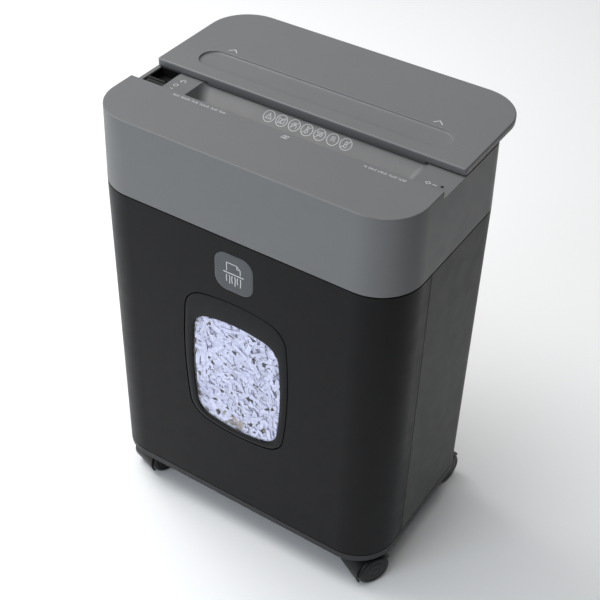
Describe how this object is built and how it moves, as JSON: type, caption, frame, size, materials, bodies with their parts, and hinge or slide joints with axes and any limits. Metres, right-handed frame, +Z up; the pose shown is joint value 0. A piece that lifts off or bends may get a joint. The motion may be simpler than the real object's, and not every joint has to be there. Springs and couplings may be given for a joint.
{
  "type": "paper shredder",
  "caption": "Upright cross-cut paper shredder: grey head with a sliding lid and feed slot over a black cabinet with a pull-out bin, window and swivel casters.",
  "frame": {"origin": "on the floor, midway between the four caster stems", "axes": "+X to the user's right, +Y to the rear (the bin pulls out along -Y), +Z up"},
  "size_m": [0.355, 0.2568, 0.505],
  "materials": {
    "head_grey": "satin moulded ABS",
    "lid_grey": "satin moulded ABS",
    "lid_inner": "moulded nylon",
    "cabinet_black": "fine textured moulding",
    "front_black": "fine textured moulding",
    "bezel_black": "satin moulding",
    "base_black": "fine textured moulding",
    "tub_black": "moulded polypropylene",
    "rail_nylon": "moulded nylon",
    "window_clear": "clear polished plastic",
    "badge_grey": "satin printed badge",
    "knob_black": "satin moulding",
    "lens_dark": "smoked lens",
    "switch_body": "moulded",
    "plunger_white": "moulded acetal",
    "inner_black": "moulded",
    "plate_steel": "zinc-plated sheet",
    "rod_steel": "turned",
    "bush_brass": "sintered bronze",
    "cutter_steel": "ground and oiled",
    "gear_steel": "hobbed",
    "gear_nylon": "moulded nylon",
    "motor_steel": "pressed can",
    "fan_plastic": "moulded",
    "board_green": "coated board",
    "paper_white": "cross-cut strips",
    "caster_hood": "moulded nylon",
    "caster_steel": "turned",
    "caster_wheel": "moulded nylon"
  },
  "bodies": {
    "cabinet": {"head_cover": "head_grey", "switch_bezel": "knob_black", "power_switch": "switch_body", "ready_lens": "lens_dark", "head_tray": "inner_black", "left_side_plate": "plate_steel", "right_side_plate": "plate_steel", "gearbox_cover": "plate_steel", "tie_rods": "rod_steel", "shaft_bushes": "bush_brass", "stripper_combs": "plate_steel", "idler_axle": "rod_steel", "motor_can": "motor_steel", "control_board": "board_green", "cord_gland": "inner_black", "sensor_bracket": "inner_black", "interlock_switch": "switch_body", "left_side_panel": "cabinet_black", "right_side_panel": "cabinet_black", "rear_panel": "cabinet_black", "base_tray": "base_black", "bin_runners": "rail_nylon"},
    "lid": {"slide_lid": "lid_grey", "lid_runners": "lid_inner"},
    "switch_slider": {"power_slider": "knob_black"},
    "rear_cutter": {"rear_cutter_shaft": "cutter_steel", "rear_cutter_discs": "cutter_steel", "rear_sync_gear": "gear_steel", "drive_gear": "gear_steel"},
    "front_cutter": {"front_cutter_shaft": "cutter_steel", "front_cutter_discs": "cutter_steel", "front_sync_gear": "gear_steel"},
    "idler": {"idler_gear": "gear_nylon"},
    "motor_rotor": {"motor_shaft": "rod_steel", "motor_fan": "fan_plastic"},
    "paper_flag": {"sensor_lever": "plunger_white"},
    "interlock_pin": {"interlock_plunger": "plunger_white"},
    "bin": {"bin_tub": "tub_black", "bin_front": "front_black", "window_bezel": "bezel_black", "window_lens": "window_clear", "front_badge": "badge_grey", "paper_shreds": "paper_white"},
    "caster_fl": {"caster_fl_hood": "caster_hood", "caster_fl_pins": "caster_steel"},
    "caster_fl_wheel_a": {"caster_fl_wheel_a": "caster_wheel"},
    "caster_fl_wheel_b": {"caster_fl_wheel_b": "caster_wheel"},
    "caster_fr": {"caster_fr_hood": "caster_hood", "caster_fr_pins": "caster_steel"},
    "caster_fr_wheel_a": {"caster_fr_wheel_a": "caster_wheel"},
    "caster_fr_wheel_b": {"caster_fr_wheel_b": "caster_wheel"},
    "caster_rl": {"caster_rl_hood": "caster_hood", "caster_rl_pins": "caster_steel"},
    "caster_rl_wheel_a": {"caster_rl_wheel_a": "caster_wheel"},
    "caster_rl_wheel_b": {"caster_rl_wheel_b": "caster_wheel"},
    "caster_rr": {"caster_rr_hood": "caster_hood", "caster_rr_pins": "caster_steel"},
    "caster_rr_wheel_a": {"caster_rr_wheel_a": "caster_wheel"},
    "caster_rr_wheel_b": {"caster_rr_wheel_b": "caster_wheel"}
  },
  "joints": [
    {"name": "lid_slide", "type": "slide", "parent": "cabinet", "child": "lid", "axis": [0, 1, 0], "range_m": [-0.041, 0]},
    {"name": "bin_slide", "type": "slide", "parent": "cabinet", "child": "bin", "axis": [0, -1, 0], "range_m": [0, 0.215]},
    {"name": "power_slide", "type": "slide", "parent": "cabinet", "child": "switch_slider", "axis": [0, 1, 0], "range_m": [0, 0.0175]},
    {"name": "rear_cutter_spin", "type": "hinge", "parent": "cabinet", "child": "rear_cutter", "pos_m": [0, -0.0145, 0.43], "axis": [1, 0, 0], "continuous": true},
    {"name": "front_cutter_spin", "type": "hinge", "parent": "cabinet", "child": "front_cutter", "pos_m": [0, -0.0445, 0.43], "axis": [1, 0, 0], "continuous": true},
    {"name": "idler_spin", "type": "hinge", "parent": "cabinet", "child": "idler", "pos_m": [0.15, 0.01612, 0.45415], "axis": [1, 0, 0], "continuous": true},
    {"name": "motor_spin", "type": "hinge", "parent": "cabinet", "child": "motor_rotor", "pos_m": [0.08, 0.05, 0.457], "axis": [1, 0, 0], "continuous": true},
    {"name": "paper_flag_hinge", "type": "hinge", "parent": "cabinet", "child": "paper_flag", "pos_m": [0.01, -0.017, 0.462], "axis": [1, 0, 0], "range_deg": [0, 45], "stiffness_Nm_per_rad": 0.002, "springref_deg": -28.65},
    {"name": "interlock_slide", "type": "slide", "parent": "cabinet", "child": "interlock_pin", "axis": [0, 0, 1], "range_m": [0, 0.003], "stiffness_N_per_m": 200, "springref_m": -0.002},
    {"name": "caster_fl_swivel", "type": "hinge", "parent": "cabinet", "child": "caster_fl", "pos_m": [-0.145, -0.086, 0.05], "axis": [0, 0, 1], "continuous": true},
    {"name": "caster_fl_spin_a", "type": "hinge", "parent": "caster_fl", "child": "caster_fl_wheel_a", "pos_m": [-0.14098, -0.07364, 0.0195], "axis": [0.9511, -0.309, 0], "continuous": true},
    {"name": "caster_fl_spin_b", "type": "hinge", "parent": "caster_fl", "child": "caster_fl_wheel_b", "pos_m": [-0.14098, -0.07364, 0.0195], "axis": [0.9511, -0.309, 0], "continuous": true},
    {"name": "caster_fr_swivel", "type": "hinge", "parent": "cabinet", "child": "caster_fr", "pos_m": [0.145, -0.086, 0.05], "axis": [0, 0, 1], "continuous": true},
    {"name": "caster_fr_spin_a", "type": "hinge", "parent": "caster_fr", "child": "caster_fr_wheel_a", "pos_m": [0.1509, -0.07442, 0.0195], "axis": [0.891, -0.454, 0], "continuous": true},
    {"name": "caster_fr_spin_b", "type": "hinge", "parent": "caster_fr", "child": "caster_fr_wheel_b", "pos_m": [0.1509, -0.07442, 0.0195], "axis": [0.891, -0.454, 0], "continuous": true},
    {"name": "caster_rl_swivel", "type": "hinge", "parent": "cabinet", "child": "caster_rl", "pos_m": [-0.145, 0.086, 0.05], "axis": [0, 0, 1], "continuous": true},
    {"name": "caster_rl_spin_a", "type": "hinge", "parent": "caster_rl", "child": "caster_rl_wheel_a", "pos_m": [-0.14945, 0.09822, 0.0195], "axis": [0.9397, 0.342, 0], "continuous": true},
    {"name": "caster_rl_spin_b", "type": "hinge", "parent": "caster_rl", "child": "caster_rl_wheel_b", "pos_m": [-0.14945, 0.09822, 0.0195], "axis": [0.9397, 0.342, 0], "continuous": true},
    {"name": "caster_rr_swivel", "type": "hinge", "parent": "cabinet", "child": "caster_rr", "pos_m": [0.145, 0.086, 0.05], "axis": [0, 0, 1], "continuous": true},
    {"name": "caster_rr_spin_a", "type": "hinge", "parent": "caster_rr", "child": "caster_rr_wheel_a", "pos_m": [0.14726, 0.0988, 0.0195], "axis": [0.9848, -0.1736, 0], "continuous": true},
    {"name": "caster_rr_spin_b", "type": "hinge", "parent": "caster_rr", "child": "caster_rr_wheel_b", "pos_m": [0.14726, 0.0988, 0.0195], "axis": [0.9848, -0.1736, 0], "continuous": true}
  ],
  "couplings": [
    {"joint": "front_cutter_spin", "follows": "rear_cutter_spin", "ratio": -1},
    {"joint": "idler_spin", "follows": "rear_cutter_spin", "ratio": -2.25},
    {"joint": "motor_spin", "follows": "rear_cutter_spin", "ratio": 8.6786}
  ]
}
